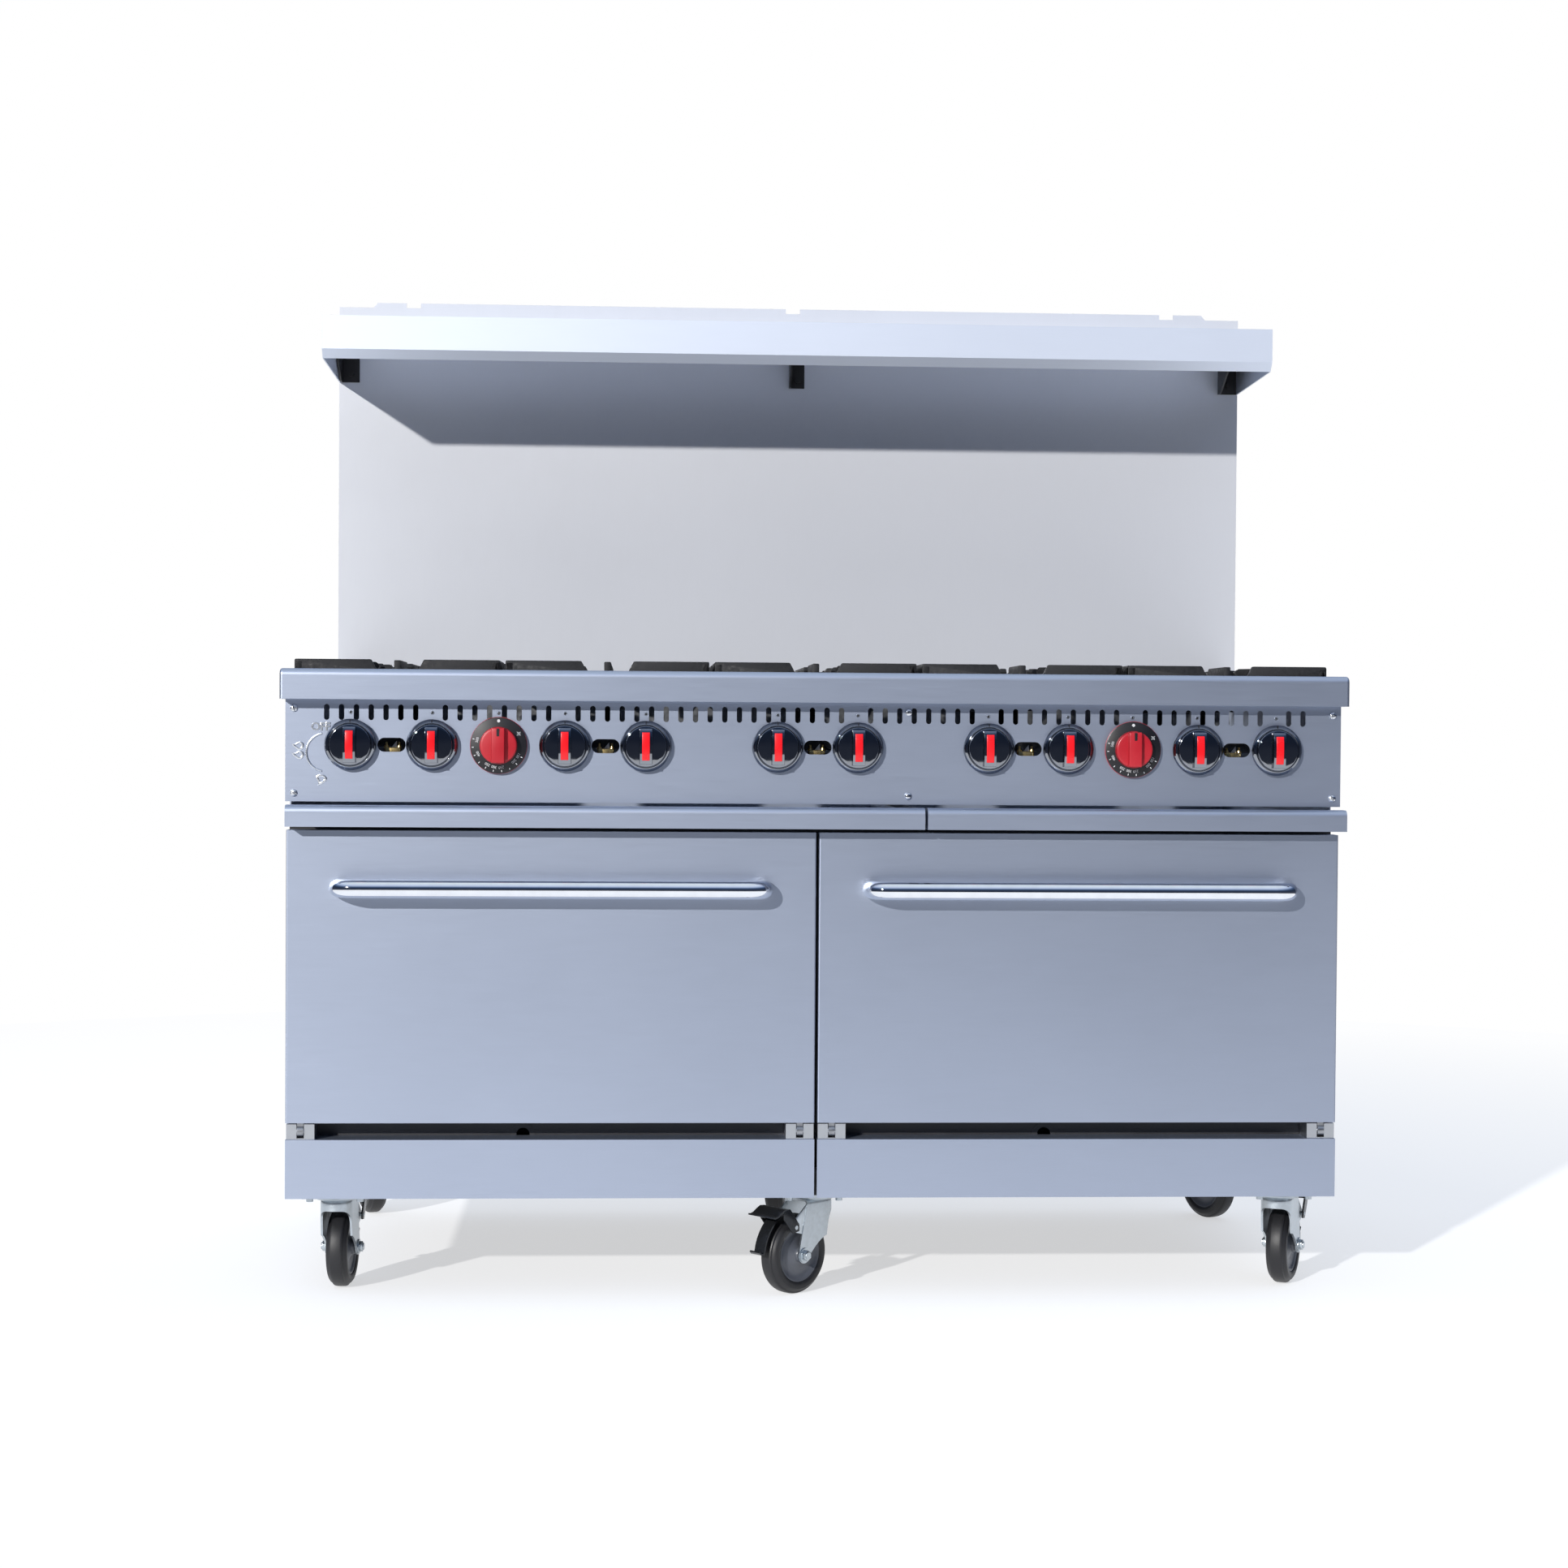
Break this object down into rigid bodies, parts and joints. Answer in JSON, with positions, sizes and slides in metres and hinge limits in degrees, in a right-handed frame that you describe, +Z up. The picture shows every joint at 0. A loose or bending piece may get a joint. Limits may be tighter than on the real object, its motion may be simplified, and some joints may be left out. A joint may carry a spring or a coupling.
{
  "type": "freestanding gas range",
  "caption": "Freestanding commercial gas range with open burners, cast grates, two ovens, pull-out trays, a back riser with high shelf and casters.",
  "frame": {"origin": "on the floor, under the centre of the whole range's bounding box", "axes": "+X to the viewer's right, +Y to the rear (the doors face -Y), +Z up"},
  "size_m": [1.524, 0.8155, 1.529],
  "materials": {
    "stainless": "satin",
    "stainless_fittings": "satin",
    "aluminised_steel": "matte",
    "black_paint": "satin",
    "oven_enamel": "gloss",
    "mineral_wool": "matte",
    "rack_chrome": "gloss",
    "handle_chrome": "polished",
    "knob_chrome": "polished",
    "red_plastic": "gloss",
    "cast_iron": "matte",
    "pipe_black": "matte",
    "valve_brass": "satin",
    "zinc_plate": "gloss",
    "wheel_rubber": "satin",
    "brake_steel": "satin"
  },
  "bodies": {
    "cabinet": {"base_frame": "black_paint", "side_panels": "stainless", "rear_panel": "aluminised_steel", "front_rail": "stainless", "control_panel": "stainless", "panel_screws": "stainless_fittings", "kick_plates": "stainless", "front_frame": "black_paint", "oven_cavities": "oven_enamel", "oven_insulation": "mineral_wool", "oven_decks": "oven_enamel", "rack_and_tray_guides": "aluminised_steel", "oven_racks": "rack_chrome", "oven_burners": "cast_iron", "top_frame": "black_paint", "burner_bodies": "cast_iron", "burner_heads": "cast_iron", "grates": "cast_iron", "gas_manifold": "pipe_black", "gas_valves": "valve_brass", "backsplash": "stainless", "high_shelf": "stainless", "shelf_brackets": "black_paint", "hinge_brackets": "stainless_fittings", "caster_plates": "zinc_plate"},
    "knob_1": {"burner_knob_1": "knob_chrome"},
    "knob_2": {"burner_knob_2": "knob_chrome"},
    "knob_3": {"burner_knob_3": "knob_chrome"},
    "knob_4": {"burner_knob_4": "knob_chrome"},
    "knob_5": {"burner_knob_5": "knob_chrome"},
    "knob_6": {"burner_knob_6": "knob_chrome"},
    "knob_7": {"burner_knob_7": "knob_chrome"},
    "knob_8": {"burner_knob_8": "knob_chrome"},
    "knob_9": {"burner_knob_9": "knob_chrome"},
    "knob_10": {"burner_knob_10": "knob_chrome"},
    "thermostat_left": {"thermostat_knob_left": "red_plastic"},
    "thermostat_right": {"thermostat_knob_right": "red_plastic"},
    "tray_left": {"drip_tray_left": "stainless"},
    "door_left": {"door_skin_left": "stainless", "door_liner_left": "aluminised_steel", "door_handle_left": "handle_chrome"},
    "tray_right": {"drip_tray_right": "stainless"},
    "door_right": {"door_skin_right": "stainless", "door_liner_right": "aluminised_steel", "door_handle_right": "handle_chrome"},
    "fork_1": {"caster_fork_1": "zinc_plate"},
    "wheel_1": {"caster_wheel_1": "wheel_rubber"},
    "brake_1": {"caster_brake_1": "brake_steel"},
    "fork_2": {"caster_fork_2": "zinc_plate"},
    "wheel_2": {"caster_wheel_2": "wheel_rubber"},
    "brake_2": {"caster_brake_2": "brake_steel"},
    "fork_3": {"caster_fork_3": "zinc_plate"},
    "wheel_3": {"caster_wheel_3": "wheel_rubber"},
    "brake_3": {"caster_brake_3": "brake_steel"},
    "fork_4": {"caster_fork_4": "zinc_plate"},
    "wheel_4": {"caster_wheel_4": "wheel_rubber"},
    "fork_5": {"caster_fork_5": "zinc_plate"},
    "wheel_5": {"caster_wheel_5": "wheel_rubber"},
    "fork_6": {"caster_fork_6": "zinc_plate"},
    "wheel_6": {"caster_wheel_6": "wheel_rubber"}
  },
  "joints": [
    {"name": "burner_knob_1_turn", "type": "hinge", "parent": "cabinet", "child": "knob_1", "pos_m": [-0.665, -0.37225, 0.791], "axis": [0, -1, 0], "range_deg": [0, 150]},
    {"name": "burner_knob_2_turn", "type": "hinge", "parent": "cabinet", "child": "knob_2", "pos_m": [-0.55, -0.37225, 0.791], "axis": [0, -1, 0], "range_deg": [0, 150]},
    {"name": "burner_knob_3_turn", "type": "hinge", "parent": "cabinet", "child": "knob_3", "pos_m": [-0.362, -0.37225, 0.791], "axis": [0, -1, 0], "range_deg": [0, 150]},
    {"name": "burner_knob_4_turn", "type": "hinge", "parent": "cabinet", "child": "knob_4", "pos_m": [-0.247, -0.37225, 0.791], "axis": [0, -1, 0], "range_deg": [0, 150]},
    {"name": "burner_knob_5_turn", "type": "hinge", "parent": "cabinet", "child": "knob_5", "pos_m": [-0.059, -0.37225, 0.791], "axis": [0, -1, 0], "range_deg": [0, 150]},
    {"name": "burner_knob_6_turn", "type": "hinge", "parent": "cabinet", "child": "knob_6", "pos_m": [0.056, -0.37225, 0.791], "axis": [0, -1, 0], "range_deg": [0, 150]},
    {"name": "burner_knob_7_turn", "type": "hinge", "parent": "cabinet", "child": "knob_7", "pos_m": [0.244, -0.37225, 0.791], "axis": [0, -1, 0], "range_deg": [0, 150]},
    {"name": "burner_knob_8_turn", "type": "hinge", "parent": "cabinet", "child": "knob_8", "pos_m": [0.359, -0.37225, 0.791], "axis": [0, -1, 0], "range_deg": [0, 150]},
    {"name": "burner_knob_9_turn", "type": "hinge", "parent": "cabinet", "child": "knob_9", "pos_m": [0.547, -0.37225, 0.791], "axis": [0, -1, 0], "range_deg": [0, 150]},
    {"name": "burner_knob_10_turn", "type": "hinge", "parent": "cabinet", "child": "knob_10", "pos_m": [0.662, -0.37225, 0.791], "axis": [0, -1, 0], "range_deg": [0, 150]},
    {"name": "thermostat_left_turn", "type": "hinge", "parent": "cabinet", "child": "thermostat_left", "pos_m": [-0.456, -0.37225, 0.791], "axis": [0, -1, 0], "range_deg": [0, 270]},
    {"name": "thermostat_right_turn", "type": "hinge", "parent": "cabinet", "child": "thermostat_right", "pos_m": [0.453, -0.37225, 0.791], "axis": [0, -1, 0], "range_deg": [0, 270]},
    {"name": "drip_tray_left_slide", "type": "slide", "parent": "cabinet", "child": "tray_left", "axis": [0, -1, 0], "range_m": [0, 0.55]},
    {"name": "door_left_hinge", "type": "hinge", "parent": "cabinet", "child": "door_left", "pos_m": [-0.379, -0.35175, 0.24], "axis": [1, 0, 0], "range_deg": [0, 90]},
    {"name": "drip_tray_right_slide", "type": "slide", "parent": "cabinet", "child": "tray_right", "axis": [0, -1, 0], "range_m": [0, 0.55]},
    {"name": "door_right_hinge", "type": "hinge", "parent": "cabinet", "child": "door_right", "pos_m": [0.379, -0.35175, 0.24], "axis": [1, 0, 0], "range_deg": [0, 90]},
    {"name": "caster_1_swivel", "type": "hinge", "parent": "cabinet", "child": "fork_1", "pos_m": [-0.688, -0.29775, 0.135], "axis": [0, 0, 1], "continuous": true},
    {"name": "caster_1_roll", "type": "hinge", "parent": "fork_1", "child": "wheel_1", "pos_m": [-0.6846, -0.2589, 0.0575], "axis": [-0.9962, 0.0872, 0], "continuous": true},
    {"name": "caster_1_brake", "type": "hinge", "parent": "fork_1", "child": "brake_1", "pos_m": [-0.68277, -0.23798, 0.1005], "axis": [-0.9962, 0.0872, 0], "range_deg": [0, 12]},
    {"name": "caster_2_swivel", "type": "hinge", "parent": "cabinet", "child": "fork_2", "pos_m": [0, -0.29775, 0.135], "axis": [0, 0, 1], "continuous": true},
    {"name": "caster_2_roll", "type": "hinge", "parent": "fork_2", "child": "wheel_2", "pos_m": [-0.02898, -0.32385, 0.0575], "axis": [0.6691, -0.7431, 0], "continuous": true},
    {"name": "caster_2_brake", "type": "hinge", "parent": "fork_2", "child": "brake_2", "pos_m": [-0.04459, -0.3379, 0.1005], "axis": [0.6691, -0.7431, 0], "range_deg": [0, 12]},
    {"name": "caster_3_swivel", "type": "hinge", "parent": "cabinet", "child": "fork_3", "pos_m": [0.688, -0.29775, 0.135], "axis": [0, 0, 1], "continuous": true},
    {"name": "caster_3_roll", "type": "hinge", "parent": "fork_3", "child": "wheel_3", "pos_m": [0.7051, -0.2627, 0.0575], "axis": [-0.8988, 0.4384, 0], "continuous": true},
    {"name": "caster_3_brake", "type": "hinge", "parent": "fork_3", "child": "brake_3", "pos_m": [0.7143, -0.24382, 0.1005], "axis": [-0.8988, 0.4384, 0], "range_deg": [0, 12]},
    {"name": "caster_4_swivel", "type": "hinge", "parent": "cabinet", "child": "fork_4", "pos_m": [-0.688, 0.30775, 0.135], "axis": [0, 0, 1], "continuous": true},
    {"name": "caster_4_roll", "type": "hinge", "parent": "fork_4", "child": "wheel_4", "pos_m": [-0.70134, 0.3444, 0.0575], "axis": [-0.9397, -0.342, 0], "continuous": true},
    {"name": "caster_5_swivel", "type": "hinge", "parent": "cabinet", "child": "fork_5", "pos_m": [0, 0.30775, 0.135], "axis": [0, 0, 1], "continuous": true},
    {"name": "caster_5_roll", "type": "hinge", "parent": "fork_5", "child": "wheel_5", "pos_m": [-0.01334, 0.2711, 0.0575], "axis": [0.9397, -0.342, 0], "continuous": true},
    {"name": "caster_6_swivel", "type": "hinge", "parent": "cabinet", "child": "fork_6", "pos_m": [0.688, 0.30775, 0.135], "axis": [0, 0, 1], "continuous": true},
    {"name": "caster_6_roll", "type": "hinge", "parent": "fork_6", "child": "wheel_6", "pos_m": [0.7075, 0.27398, 0.0575], "axis": [0.866, 0.5, 0], "continuous": true}
  ]
}
